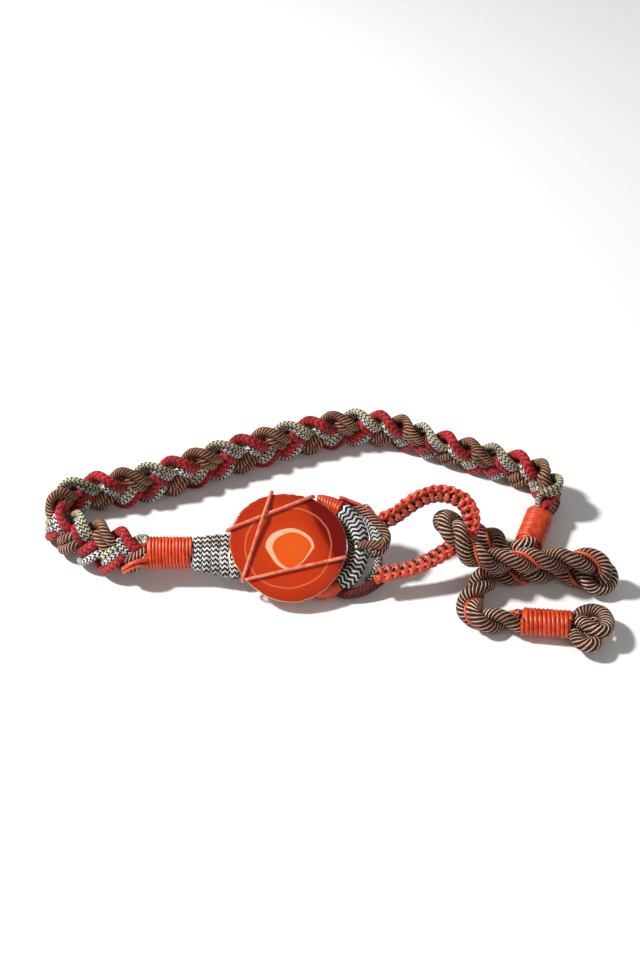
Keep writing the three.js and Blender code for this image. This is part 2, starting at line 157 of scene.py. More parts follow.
def smooth_path(points, per_span=24):
    """Centripetal Catmull-Rom curve through the points: places and the share of the row they fall on."""
    p = np.asarray(points, float)
    p = np.vstack([2 * p[0] - p[1], p, 2 * p[-1] - p[-2]])
    places, rows = [], []
    for i in range(1, len(p) - 2):
        a, b, c, d = p[i - 1], p[i], p[i + 1], p[i + 2]
        k0, k1, k2 = (math.sqrt(np.linalg.norm(y - x)) for x, y in ((a, b), (b, c), (c, d)))
        m1 = ((b - a) / k0 - (c - a) / (k0 + k1) + (c - b) / k1) * k1
        m2 = ((c - b) / k1 - (d - b) / (k1 + k2) + (d - c) / k2) * k1
        last = i == len(p) - 3
        t = np.linspace(0, 1, per_span + 1)[: None if last else -1, None]
        squared = 3 * c - 3 * b - 2 * m1 - m2
        cubed = 2 * b - 2 * c + m1 + m2
        places.append(b + m1 * t + squared * t ** 2 + cubed * t ** 3)
        rows.append(i - 1 + t[:, 0])
    return np.vstack(places), np.concatenate(rows)


def cord_line(points, spacing=1.0):
    return Line(smooth_path(points)[0], spacing=spacing)


def in_front(points):
    """Places along, across and out of the stone, in the belt's frame."""
    return FRONT + np.asarray(points, float) @ FRONT_AXES


def in_loop(points):
    return KNOTTED + np.asarray(points, float) @ LOOP_AXES


# Meshes

PIECES = bpy.context.collection


def finish(name, bm, material, nodes=()):
    mesh = bpy.data.meshes.new(name)
    bm.to_mesh(mesh)
    bm.free()
    mesh.materials.append(material)
    mesh.polygons.foreach_set("use_smooth", [True] * len(mesh.polygons))
    piece = bpy.data.objects.new(name, mesh)
    PIECES.objects.link(piece)
    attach(piece, "root")
    if nodes:
        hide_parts(*nodes)
    return piece


def tube_into(bm, line, width, thick=None, sides=12, round_ends=True, swell=None, shape=2.0):
    """Sweeps a circle into a straight tube by one spin and lays it on the line. The UV map holds the
    millimetres along the line and the turns round it. A shape above 2 is squarer than an oval."""
    thick = thick or width
    steps = len(line.at) - 1
    part = bmesh.new()
    bmesh.ops.create_circle(part, segments=sides, radius=1.0, matrix=Matrix.Rotation(math.pi / 2, 4, "Y"))
    bmesh.ops.spin(part, geom=part.edges[:], axis=(1, 0, 0), cent=(0, 0, 0), dvec=(1, 0, 0), angle=0,
                   steps=steps)
    bmesh.ops.holes_fill(part, edges=[e for e in part.edges if e.is_boundary], sides=0)
    bmesh.ops.recalc_face_normals(part, faces=part.faces)
    reach = min(width, thick) / 2
    from_end = np.minimum(line.at, line.length - line.at)
    full = np.clip(from_end / reach, 0, 1) if round_ends else np.ones(steps + 1)
    smallest_end = 0.03
    grow = np.sqrt(np.clip(1 - (1 - full) ** 2, smallest_end, 1))
    if swell is not None:
        grow = grow * swell(line.at)
    uv = part.loops.layers.uv.new("UVMap")
    for face in part.faces:
        turns = [math.atan2(l.vert.co.z, l.vert.co.y) / (2 * math.pi) % 1 for l in face.loops]
        wraps = len(turns) == 4 and max(turns) - min(turns) > 0.5
        for loop, turn in zip(face.loops, turns):
            turn = turn + 1 if wraps and turn < 0.5 else turn
            loop[uv].uv = (line.at[int(round(loop.vert.co.x))], turn)
    for vert in part.verts:
        i = int(round(vert.co.x))
        c, s = vert.co.y, vert.co.z
        bulge = (abs(c) ** shape + abs(s) ** shape) ** (-1 / shape)
        place = (line.points[i] + line.sides[i] * c * bulge * grow[i] * width / 2
                 + line.faces[i] * s * bulge * grow[i] * thick / 2)
        vert.co = Vector(place * MM)
    scratch = bpy.data.meshes.new("scratch")
    part.to_mesh(scratch)
    part.free()
    bm.from_mesh(scratch)
    bpy.data.meshes.remove(scratch)


def tube(name, line, material, slot, width, thick=None, nodes=(), **kind):
    bm = bmesh.new()
    tube_into(bm, line, width, thick, **kind)
    return finish(name, bm, material, nodes)


# Materials

def linear(colour):
    """sRGB hex to linear, with full alpha."""
    values = [int(colour[i:i + 2], 16) / 255 for i in (1, 3, 5)]
    return tuple(v / 12.92 if v <= 0.04045 else ((v + 0.055) / 1.055) ** 2.4 for v in values) + (1.0,)


def add(made, kind, links=None, stops=(), **settings):
    """Adds a node. links maps an input's name or number to a value or to another node's output; stops are
    a ramp's places and colours."""
    tree = made.node_tree
    node = tree.nodes.new("ShaderNode" + kind)
    for name, value in settings.items():
        setattr(node, name, value)
    for name, value in (links or {}).items():
        if isinstance(value, bpy.types.NodeSocket):
            tree.links.new(value, node.inputs[name])
        else:
            node.inputs[name].default_value = value
    for i, (place, colour) in enumerate(stops):
        points = node.color_ramp.elements
        if i == 0:
            points.remove(points[1])
        point = points.new(place) if i else points[0]
        point.position = place
        point.color = linear(colour)
    return node


def material(name, **shader):
    made = bpy.data.materials.new(name)
    made.use_nodes = True
    made.node_tree.nodes.clear()
    surface = add(made, "BsdfPrincipled", shader)
    add(made, "OutputMaterial", {0: surface.outputs[0]})
    return made, surface


def woven_cord(name, stops, row_mm, climbs=0, zigzags=0, zig_mm=0.0):
    """Braided nylon cord: its yarns show as fine ribs, with a soft sheen. The rows climb round the cord, or
    run in zigzags where the carriers change sides. Soiled patches are darker."""
    made, surface = material(name, **{
        "Roughness": 0.62, "Specular IOR Level": 0.3, "Sheen Weight": 0.05, "Sheen Roughness": 0.4})
    uneven = 0.26
    ribs_per_row, threads_round = 2, 16
    links = made.node_tree.links
    place = add(made, "TexCoord").outputs["Object"]
    cord = add(made, "UVMap", uv_map="UVMap").outputs[0]
    rows = add(made, "Mapping", {"Vector": cord, "Scale": (1 / row_mm, float(zigzags or 1), 1.0)})
    split = add(made, "SeparateXYZ", {0: rows.outputs[0]})
    fold, slope = split.outputs[1], float(climbs)
    if zigzags:
        fold = add(made, "Math", {0: fold, 1: 0.5}, operation="PINGPONG").outputs[0]
        slope = 2 * zig_mm / row_mm
    phase = add(made, "Math", {0: fold, 1: slope, 2: split.outputs[0]}, operation="MULTIPLY_ADD").outputs[0]
    wander = add(made, "TexNoise", {"Vector": place, "Scale": 420.0, "Detail": 2.0}).outputs[0]
    phase = add(made, "Math", {0: wander, 1: uneven, 2: phase}, operation="MULTIPLY_ADD").outputs[0]
    stripe = add(made, "Math", {0: phase}, operation="FRACT").outputs[0]
    yarn = add(made, "ValToRGB", {0: stripe}, stops=stops).outputs[0]
    patches = add(made, "TexNoise", {"Vector": place, "Scale": 70.0, "Detail": 4.0}).outputs[0]
    soil = add(made, "ValToRGB", {0: patches}, stops=[(0.32, "#A89C94"), (0.6, "#FFFFFF")]).outputs[0]
    used = add(made, "Mix", {0: 1.0, 6: yarn, 7: soil}, data_type="RGBA", blend_type="MULTIPLY")
    links.new(used.outputs[2], surface.inputs["Base Color"])
    ribs = add(made, "Math", {0: phase, 1: ribs_per_row * 2 * math.pi}, operation="MULTIPLY").outputs[0]
    ribs = add(made, "Math", {0: ribs}, operation="SINE").outputs[0]
    round_cord = (0.0, threads_round * 2 * math.pi, 0.0)
    threads = add(made, "VectorMath", {0: cord, 1: round_cord}, operation="MULTIPLY")
    threads = add(made, "SeparateXYZ", {0: threads.outputs[0]}).outputs[1]
    threads = add(made, "Math", {0: threads}, operation="SINE").outputs[0]
    height = add(made, "Math", {0: threads, 1: 0.5, 2: ribs}, operation="MULTIPLY_ADD").outputs[0]
    bump = add(made, "Bump", {"Strength": 0.55, "Distance": 0.0004, "Height": height})
    links.new(bump.outputs[0], surface.inputs["Normal"])
    return made


ZEBRA = woven_cord("zebra_braided_cord", [
    (0.0, "#0A0A0B"), (0.44, "#101012"), (0.50, "#F0F0EA"), (0.92, "#F8F8F4"), (0.98, "#141414"),
], row_mm=3.0, zigzags=6, zig_mm=1.7)
ZEBRA_WIDE = woven_cord("zebra_broad_cord", [
    (0.0, "#0A0A0B"), (0.50, "#101012"), (0.55, "#F2F2EC"), (0.92, "#FAFAF6"), (0.98, "#141414"),
], row_mm=3.3, zigzags=6, zig_mm=1.8)
# A darker, mostly black copy of the black and white cord: painted shade for the knotted loop's core cords,
# seen in the shaded gaps between the half hitches
ZEBRA_SHADED = woven_cord("zebra_knotted_cord_painted_shade", [
    (0.0, "#0A0A0B"), (0.66, "#141416"), (0.74, "#D8D8D0"), (0.92, "#E4E4DC"), (0.98, "#141414"),
], row_mm=3.0, zigzags=6, zig_mm=1.7)
CREAM = woven_cord("cream_braided_cord", [
    (0.0, "#14110A"), (0.36, "#231E0E"), (0.45, "#D6CFA6"), (0.92, "#E9E4C6"), (1.0, "#2E2818"),
], row_mm=3.0, zigzags=5, zig_mm=1.6)
RUST = woven_cord("rust_braided_cord", [
    (0.0, "#1A0905"), (0.28, "#2C120A"), (0.40, "#854424"), (0.56, "#9A562E"), (0.65, "#E6BA98"),
    (0.78, "#D8A684"), (0.88, "#522412"), (1.0, "#1A0905"),
], row_mm=2.5, climbs=5)
TAIL_RUST = woven_cord("dark_rust_braided_cord", [
    (0.0, "#120604"), (0.32, "#1D0B06"), (0.44, "#7A3C1A"), (0.57, "#8E4C24"), (0.63, "#FFE2CA"),
    (0.79, "#F4CAAA"), (0.85, "#74381A"), (0.93, "#2A110A"), (1.0, "#120604"),
], row_mm=2.8, climbs=6)
CRIMSON = woven_cord("crimson_plaited_cord", [
    (0.0, "#4E060A"), (0.3, "#B01418"), (0.6, "#D8363A"), (0.8, "#BC1A20"), (1.0, "#4E060A"),
], row_mm=3.6, zigzags=4, zig_mm=2.2)
# A darker copy of the crimson cord, with painted shade, for the crimson cord that lies in shadow under the
# stone's lower right edge
CRIMSON_SHADED = woven_cord("crimson_cord_painted_shade", [
    (0.0, "#200304"), (0.3, "#5C0C0C"), (0.6, "#84201A"), (0.8, "#64100E"), (1.0, "#200304"),
], row_mm=3.2, climbs=5)


def leather_lace(name, colour, worn, dark, roughness):
    """Waxed leather lace: smooth and a little glossy, paler where it is rubbed, darker in its creases."""
    made, surface = material(name, **{"Roughness": roughness, "Coat Weight": 0.1, "Coat Roughness": 0.35})
    links = made.node_tree.links
    place = add(made, "TexCoord").outputs["Object"]
    patches = add(made, "TexNoise", {"Vector": place, "Scale": 190.0, "Detail": 5.0, "Roughness": 0.6})
    tone = add(made, "ValToRGB", {0: patches.outputs[0]},
               stops=[(0.28, dark), (0.5, colour), (0.76, worn)])
    links.new(tone.outputs[0], surface.inputs["Base Color"])
    grain = add(made, "TexNoise", {"Vector": place, "Scale": 1400.0, "Detail": 3.0})
    bump = add(made, "Bump", {"Strength": 0.25, "Distance": 0.0002, "Height": grain.outputs[0]})
    links.new(bump.outputs[0], surface.inputs["Normal"])
    return made


LACE = leather_lace("orange_leather_lace", "#CE4016", "#E66430", "#9A240A", 0.4)
KNOT_LACE = leather_lace("coral_leather_lace", "#C23C22", "#E26A4A", "#8C2010", 0.45)
PALE_LACE = leather_lace("salmon_leather_lace", "#DC6A4E", "#F4A088", "#B2462C", 0.4)


def polished_agate():
    """Dyed agate, sliced and polished: a bright core in a pale ring, then darker growth bands to the rim,
    with one light line among them, and the darkest red on the upper right."""
    made, surface = material("polished_banded_agate", **{
        "Roughness": 0.22, "IOR": 1.54, "Specular IOR Level": 0.3, "Subsurface Weight": 0.06,
        "Subsurface Scale": 0.003, "Subsurface Radius": (1.0, 0.25, 0.1)})
    links = made.node_tree.links
    spot = add(made, "UVMap", uv_map="UVMap").outputs[0]
    drift = add(made, "TexNoise", {"Vector": spot, "Scale": 0.05, "Detail": 1.5}).outputs[1]
    drift = add(made, "VectorMath", {0: drift, 1: (0.5, 0.5, 0.5)}, operation="SUBTRACT").outputs[0]
    spot = add(made, "VectorMath", {0: drift, 1: (3.0, 3.0, 0.0), 2: spot},
               operation="MULTIPLY_ADD").outputs[0]
    # The ring narrows downwards, to a blunt point
    place = add(made, "SeparateXYZ", {0: spot})
    low = add(made, "Math", {0: place.outputs[1], 1: 0.0}, operation="MINIMUM").outputs[0]
    squeeze = add(made, "Math", {0: low, 1: -0.035, 2: 1.0}, operation="MULTIPLY_ADD").outputs[0]
    narrow = add(made, "Math", {0: place.outputs[0], 1: squeeze}, operation="MULTIPLY").outputs[0]
    pointed = add(made, "CombineXYZ", {0: narrow, 1: place.outputs[1]}).outputs[0]
    # Middles and half widths of the pale ring's outer and inner edges and of the whole face, in millimetres
    reaches = []
    for shape, middle, half in ((pointed, (1.0, -1.0), (17.6, 15.0)),
                                (pointed, (2.6, -1.8), (14.6, 13.3)),
                                (spot, (0.0, 0.0), (42.0, 39.0))):
        scale = (1 / half[0], 1 / half[1], 0.0)
        shift = (-middle[0] / half[0], -middle[1] / half[1], 0.0)
        placed = add(made, "Mapping", {"Vector": shape, "Scale": scale, "Location": shift}).outputs[0]
        reaches.append(add(made, "VectorMath", {0: placed}, operation="LENGTH").outputs["Value"])
    ring_out, ring_in, edge = reaches
    core = add(made, "ValToRGB", {0: ring_in}, stops=[
        (0.0, "#DE5A14"), (0.80, "#DC5612"), (0.93, "#D2541A"), (0.975, "#E8A078"),
        (1.0, "#EEB48E")]).outputs[0]
    bands = add(made, "ValToRGB", {0: edge}, stops=[
        (0.36, "#C43A0C"), (0.50, "#BC360A"), (0.66, "#BA340A"), (0.80, "#B4300A"), (0.92, "#AC2C0A"),
        (1.0, "#A82A0A")]).outputs[0]
    inside = add(made, "ValToRGB", {0: ring_out}, stops=[(0.97, "#FFFFFF"), (1.0, "#000000")]).outputs[0]
    face = add(made, "Mix", {0: inside, 6: bands, 7: core}, data_type="RGBA").outputs[2]
    # The darkest red lies beyond a straight line that runs down from left to right
    to_upper_right = (0.022, 0.0118, 0.0)
    beyond = add(made, "VectorMath", {0: spot, 1: to_upper_right}, operation="DOT_PRODUCT").outputs["Value"]
    shaded = add(made, "ValToRGB", {0: beyond}, stops=[
        (0.42, "#000000"), (0.60, "#8C8C8C"), (0.68, "#FFFFFF")]).outputs[0]
    face = add(made, "Mix", {0: shaded, 6: face, 7: linear("#6E0602")}, data_type="RGBA").outputs[2]
    on_line = add(made, "ValToRGB", {0: edge}, stops=[
        (0.712, "#000000"), (0.728, "#B4B4B4"), (0.738, "#B4B4B4"), (0.752, "#000000")]).outputs[0]
    face = add(made, "Mix", {0: on_line, 6: face, 7: linear("#EC8A58")}, data_type="RGBA").outputs[2]
    # Thin chipped rim, paler than the face
    from_rim = add(made, "SeparateXYZ", {0: add(made, "UVMap", uv_map="FromRim").outputs[0]}).outputs[0]
    chips = add(made, "TexNoise", {"Vector": spot, "Scale": 0.5, "Detail": 3.0}).outputs[0]
    from_rim = add(made, "Math", {0: chips, 1: 0.9, 2: from_rim}, operation="MULTIPLY_ADD").outputs[0]
    rim = add(made, "ValToRGB", {0: from_rim}, stops=[(0.90, "#FFFFFF"), (1.0, "#000000")]).outputs[0]
    chipped = add(made, "Mix", {0: rim, 6: face, 7: linear("#E08A66")}, data_type="RGBA")
    links.new(chipped.outputs[2], surface.inputs["Base Color"])
    return made


AGATE = polished_agate()


def plain(name, colour, roughness):
    made, surface = material(name, Roughness=roughness)
    surface.inputs["Base Color"].default_value = linear(colour)
    return made


# Tail: two fat cords and a lace, twisted together, through the knotted loop and back

# Places of its middle line, in millimetres from the oval's place on the floor
TAIL_POINTS = [
    (152.0, -79.8, 12.7), (150.8, -82.8, 12.7), (146.0, -86.0, 12.2), (139.5, -84.5, 11.0),
    (132.5, -78.0, 9.8), (126.5, -71.0, 9.3), (119.5, -65.5, 9.2), (111.5, -62.0, 9.4),
    (102.0, -60.5, 12.5), (94.5, -64.5, 20.0), (91.0, -71.5, 29.0), (91.0, -79.5, 36.5),
    (91.8, -88.0, 43.0), (95.0, -97.5, 44.5), (100.5, -105.0, 40.5), (108.5, -109.5, 34.0),
    (118.0, -109.8, 29.5), (129.0, -108.8, 27.8), (142.0, -107.9, 27.6), (157.0, -107.7, 27.6),
    (170.0, -108.0, 27.6), (180.0, -108.0, 27.6), (189.5, -107.7, 27.0), (197.2, -107.5, 24.0),
    (202.5, -109.0, 18.5), (204.0, -112.0, 12.0), (198.5, -113.5, 9.3), (188.0, -108.5, 9.2),
    (177.0, -102.0, 9.2), (164.0, -101.0, 9.2), (150.0, -104.5, 9.2), (136.0, -104.2, 9.2),
    (124.5, -105.5, 9.2), (116.5, -111.5, 9.2), (112.5, -120.0, 9.2), (107.3, -128.0, 9.2),
    (104.3, -136.5, 9.2), (107.0, -143.8, 9.2), (114.0, -147.2, 9.2), (122.5, -147.6, 9.2),
    (130.8, -147.2, 9.3), (138.3, -147.9, 9.5),
]


def helix(line, reach, pitch, phase, spacing=1.2):
    turn = 2 * math.pi * (line.at / pitch + phase)
    outward = line.sides * np.cos(turn)[:, None] + line.faces * np.sin(turn)[:, None]
    return Line(line.points + reach * outward, spacing=spacing)


tail_line = cord_line(np.array(TAIL_POINTS) + OVAL)
tail_cord_width = ROPE_THICK / 2 + 0.6


def make_tail():
    """The twisted cords run a little way into both windings. The lace lies in the groove between them."""
    bm = bmesh.new()
    into_windings = tail_line.tangents[[0, -1]] * [[-3.0], [3.0]]
    longer = Line(np.vstack([tail_line.points[:1] + into_windings[:1], tail_line.points,
                             tail_line.points[-1:] + into_windings[1:]]))
    for phase in (0.1, 0.6):
        cord = helix(longer, tail_cord_width / 2 - 0.2, ROPE_TWIST, phase)
        tube_into(bm, cord, tail_cord_width, sides=14)
    rope = finish("tail_rope_twisted", bm, TAIL_RUST, ["tail_rope"])
    lace_line = helix(tail_line, tail_cord_width * 0.62, ROPE_TWIST, 0.35)
    lace = tube("tail_lace", lace_line, LACE, "lace_winding", 2.6, 2.0, sides=8)
    path = [tuple(p * MM) for p in tail_line.points[::6]] + [tuple(tail_line.points[-1] * MM)]
    exit_point = tuple(tail_line.points[0] * MM)
    return rope, lace, path, exit_point


tail_rope, tail_lace, tail_path, tail_exit = make_tail()


# Windings of lace

def winding_into(bm, axis, width, thick, turns, lace_width, lace_thick, start=0.0, uneven=0.0, seed=1):
    """One lace wound round an oval: its flat side faces out and its turns lie side by side, a little
    loose and a little out of line where uneven is above 0."""
    rng = np.random.default_rng(seed)
    steps_per_turn, widest_slip = 40, 14
    shares = np.linspace(0, 1, turns * steps_per_turn + 1)
    turn = 2 * math.pi * (shares * turns + start)
    spot = shares * axis.length
    point, side, face, along = (sampled(spot, axis.at, rows)
                                for rows in (axis.points, axis.sides, axis.faces, axis.tangents))
    loose, slip = (np.interp(shares, np.linspace(0, 1, count), rng.uniform(-1, 1, count))
                   for count in (3 * turns, 2 * turns))
    loose = 1 + uneven * loose
    slip = uneven * widest_slip * slip
    inset = lace_thick / 2
    point = (point + side * ((width / 2 - inset) * loose * np.cos(turn))[:, None]
             + face * ((thick / 2 - inset) * loose * np.sin(turn))[:, None] + along * slip[:, None])
    tube_into(bm, Line(point, along, 1.3), lace_width, lace_thick, sides=8, shape=2.1)


def straight_axis(start, along, length, side):
    points = [start + along * length * t for t in (0, 0.5, 1)]
    return Line(points, [side] * 3)


def whipping(name, node, axis, size, seed):
    """A winding and the cords inside it. The lace's first and last turns end flush with the winding."""
    pitch = axis.length / size["turns"]
    half_turn = axis.tangents[0] * pitch / 2
    inner = Line([axis.points[0] + half_turn, axis.points[-1] - half_turn], [axis.sides[0]] * 2)
    bm = bmesh.new()
    winding_into(bm, inner, size["width"], size["thick"], size["turns"] - 1, pitch * 0.99, 2.4,
                 start=0.3, uneven=0.012, seed=seed)
    tube_into(bm, inner, size["width"] - 3.2, size["thick"] - 3.2, sides=24, round_ends=False)
    return finish(name, bm, LACE, [node])


def make_whippings():
    front_axis = straight_axis(in_front([WHIP_START, FRONT_DROP, 0]), FRONT_AXES[0], FRONT_WHIP["length"],
                               FRONT_AXES[1])
    whipping("front_lace_winding", "whipping_front", front_axis, FRONT_WHIP, seed=3)
    along = np.array([math.cos(BACK_WHIP_HEADING), math.sin(BACK_WHIP_HEADING), 0.0])
    finish_at = tail_line.points[0] - along * GAP
    up = np.array([0.0, 0.0, 1.0])
    back_axis = straight_axis(finish_at - along * BACK_WHIP["length"], along, BACK_WHIP["length"],
                              np.cross(up, along))
    whipping("back_lace_winding", "whipping_back", back_axis, BACK_WHIP, seed=5)
    out = unit(tail_line.points[-1] - tail_line.points[-4])
    tail_axis = straight_axis(tail_line.points[-1] + out * GAP, out, TAIL_WHIP["length"],
                              np.cross(up, out))
    tail_whip = whipping("tail_lace_winding", "whipping_tail", tail_axis, TAIL_WHIP, seed=7)
    return front_axis, back_axis, tail_axis, tail_whip


front_axis, back_axis, tail_axis, tail_whip = make_whippings()


def make_lace_ends():
    """The two ends of the front winding's lace, laid back over the plait and under its edge."""
    bm = bmesh.new()
    for rows in ([(2, -8, 6), (-5, -9.5, 9), (-11, -12, 8.5), (-17, -14.5, 2)],
                 [(2, -11.5, 5), (-5, -12.5, 8), (-11, -14.5, 6.5), (-16, -16.5, 0)]):
        tube_into(bm, cord_line(in_front(np.array(rows) + [WHIP_START, 0, 0])), 3.4, 2.4, sides=8)
    finish("front_lace_ends", bm, LACE)


make_lace_ends()


# End of the tail: the cords doubled back into two lobes

def make_tail_knot():
    width = TAIL_WHIP["width"]
    start = tail_axis.points[-1]
    out, side = tail_axis.tangents[-1], tail_axis.sides[-1]
    up = np.array([0.0, 0.0, 1.0])
    # Places along, beside and above the winding's axis, in widths of the winding
    upper = [(-0.1, 0.26, 0.0), (0.12, 0.30, 0.0), (0.35, 0.52, 0.02), (0.68, 0.62, 0.06),
             (1.02, 0.46, 0.1), (1.14, 0.04, 0.14), (0.98, -0.34, 0.2), (0.62, -0.32, 0.24),
             (0.34, -0.06, 0.2), (0.02, 0.04, 0.1)]
    lower = [(-0.1, -0.26, 0.0), (0.08, -0.42, -0.02), (0.30, -0.76, -0.02), (0.58, -0.82, 0.0),
             (0.76, -0.58, -0.04), (0.62, -0.28, -0.12), (0.36, -0.08, -0.14)]
    middle = [(-0.1, 0.04, -0.05), (0.30, 0.12, -0.08), (0.66, 0.14, -0.08), (0.92, 0.05, -0.1)]
    bm = bmesh.new()
    for rows in (upper, lower, middle):
        places = [start + out * o * width + side * a * width + up * r * width for o, a, r in rows]
        tube_into(bm, cord_line(places), tail_cord_width, sides=14)
    return finish("tail_doubled_end", bm, TAIL_RUST, ["tail_knot"])


tail_knot = make_tail_knot()


# Plaited band

# Its middle line: along and across the oval in lengths and depths of it, height in widths of the band,
# and lean from upright in degrees
BAND_ROWS = [
    (-0.385, -0.640, 0.60, 46), (-0.436, -0.585, 0.56, 40), (-0.492, -0.500, 0.54, 28),
    (-0.526, -0.395, 0.51, 16), (-0.519, -0.285, 0.51, 8), (-0.470, -0.215, 0.51, 3),
    (-0.400, -0.180, 0.51, 0), (-0.325, -0.115, 0.51, 0), (-0.235, -0.005, 0.51, 0),
    (-0.135, 0.110, 0.51, 0), (-0.035, 0.210, 0.51, 2), (0.070, 0.282, 0.51, 5),
    (0.158, 0.258, 0.51, 10), (0.232, 0.162, 0.51, 14), (0.305, 0.072, 0.51, 14),
    (0.380, -0.005, 0.51, 10), (0.442, -0.090, 0.51, 4), (0.470, -0.205, 0.50, 0),
]


def band_path():
    """The plait's middle line, with the directions across its width and through its thickness."""
    lead = 9.0
    front_face = front_axis.points[0] - FRONT_AXES[0] * GAP
    back_face = back_axis.points[0] - back_axis.tangents[0] * GAP
    front_lean = math.degrees(FRONT_LEAN)
    rows = [(*front_face, front_lean), (*(front_face - FRONT_AXES[0] * lead), front_lean)]
    rows += [(x * LOOP_WIDTH + OVAL[0], y * LOOP_DEPTH + OVAL[1], height * BAND_WIDTH, lean)
             for x, y, height, lean in BAND_ROWS]
    rows += [(*(back_face - back_axis.tangents[0] * lead), 0.0), (*back_face, 0.0)]
    table = np.array(rows)
    places, row = smooth_path(table[:, :3], 40)
    lean = np.radians(np.interp(row, np.arange(len(rows)), table[:, 3]))
    along = unit(np.gradient(places, axis=0))
    inward = unit(np.stack([along[:, 1], -along[:, 0], np.zeros(len(along))], axis=1))
    up = unit(np.cross(inward, along))
    side = up * np.cos(lean)[:, None] + inward * np.sin(lean)[:, None]
    return Line(places, side, 0.8)


band = band_path()


def on_band(x, y, z):
    """Straight plait coordinates, along, across and through, to places on the band."""
    near = np.clip(np.minimum(x, band.length - x) / TAPER_LENGTH, 0, 1)
    size = BAND_TAPER + (1 - BAND_TAPER) * near * near * (3 - 2 * near)
    point, side, face = (sampled(x, band.at, rows) for rows in (band.points, band.sides, band.faces))
    return point + side * (y * size)[:, None] + face * (z * size)[:, None]


def bundle_line(phase, offset):
    """One cord of a bundle: it keeps its place in the flat bundle as that weaves from edge to edge."""
    side_swing = (BAND_WIDTH - BUNDLE_WIDTH) / 2
    face_swing = (BAND_THICK - BUNDLE_THICK) / 2
    x = np.arange(-4.0, band.length + 4.0, 0.5)
    turn = 2 * math.pi * (x / PLAIT_PITCH + phase)
    swing = (np.sin(turn) - STRAIGHTER * np.sin(3 * turn)) / (1 + STRAIGHTER)
    lift = np.sin(2 * turn) + SQUARER * np.sin(6 * turn)
    middle = np.stack([x, side_swing * swing, -face_swing * lift], axis=1)
    along = unit(np.gradient(middle, axis=0))
    side = unit(np.cross([0, 0, 1], along))
    place = middle + side * offset
    across = place + side
    laid, beside = on_band(*place.T), on_band(*across.T)
    return Line(laid, beside - laid, 1.5)


def make_plait():
    # The cords of a bundle: material, place beside the bundle's middle and width
    bundles = [
        ("plait_brown", "braid_strand_brown", "rust_cord", BROWN_PHASE,
         [(RUST, -3.4, 7.3), (RUST, 3.4, 7.3)]),
        ("plait_cream", "braid_strand_cream", "cream_cord", BROWN_PHASE - 1 / 3,
         [(CRIMSON, -4.9, 5.8), (ZEBRA, 0.1, 5.2), (CREAM, 4.9, 5.4)]),
        ("plait_red", "braid_strand_red", "crimson_cord", BROWN_PHASE - 2 / 3,
         [(ZEBRA, -4.6, 5.6), (CRIMSON, 2.4, 8.0)]),
    ]
    for name, node, slot, phase, cords in bundles:
        for i, (cord_material, offset, width) in enumerate(cords):
            line = bundle_line(phase, offset)
            tube(f"{name}_{i + 1}", line, cord_material, slot, width, width * 0.94, [node], sides=12)


make_plait()


# Broad cord wound round the core, beside the stone and under its edge

def make_wrap_panel():
    """Turns that widen towards the stone, over a plain core."""
    start = WHIP_START + FRONT_WHIP["length"] + GAP
    pitch = (PANEL_LENGTH - GAP) / PANEL_TURNS
    bm = bmesh.new()
    for i in range(PANEL_TURNS):
        share = (i + 0.5) / PANEL_TURNS
        x = start + pitch * (i + 0.5)
        reach = FRONT_WHIP["width"] * (1 + (PANEL_FLARE - 1) * share) / 2 - 1.6
        middle = FRONT_DROP - PANEL_SLOPE * share
        ring = [[x + 0.35 * math.sin(turn + i), middle + reach * math.cos(turn),
                 (CORE_THICK / 2 - 1.5) * math.sin(turn)] for turn in np.linspace(0, 2 * math.pi, 61)]
        line = Line(in_front(ring), [FRONT_AXES[0]] * len(ring))
        tube_into(bm, line, pitch * 1.03, 3.4, sides=14, round_ends=False, shape=2.6)
    middle = in_front([[start - 1.0, FRONT_DROP, 0],
                       [start + PANEL_LENGTH, FRONT_DROP - PANEL_SLOPE, 0]])
    tube_into(bm, Line(middle, [FRONT_AXES[1]] * 2), FRONT_WHIP["width"] - 2.4, CORE_THICK - 2.4,
              sides=24, round_ends=False, swell=lambda at: 1 + 0.3 * at / PANEL_LENGTH)
    finish("broad_cord_wrap", bm, ZEBRA_WIDE, ["wrap_panel"])


make_wrap_panel()


def make_core():
    """Two layers of cord side by side behind the stone, cut to the stone's round right side."""
    bm = bmesh.new()
    rows = 6
    width = CORE_HEIGHT / rows
    for i in range(rows):
        v = -CORE_HEIGHT / 2 + width * (i + 0.5)
        end = math.sqrt((STONE_WIDTH / 2 - 2.5) ** 2 - v * v) - 0.5
        for n in (-CORE_THICK / 4, CORE_THICK / 4):
            points = in_front([[CORE_START + GAP, v, n], [0, v, n], [end, v, n]])
            tube_into(bm, Line(points, [FRONT_AXES[1]] * 3, 1.5), width * 1.03, CORE_THICK / 2 + 0.1)
    finish("core_cords", bm, ZEBRA, ["core_panel"])


make_core()


# Stone

def stone_reach(turn, shrink=0.0):
    """Place on the stone's uneven outline, drawn in by shrink."""
    waver = STONE_WAVER * (math.sin(turn) - 1.1 * math.sin(2 * turn) + math.sin(3 * turn) - 1)
    return ((STONE_WIDTH / 2 + waver - shrink) * math.cos(turn),
            (STONE_HEIGHT / 2 + waver - shrink) * math.sin(turn))


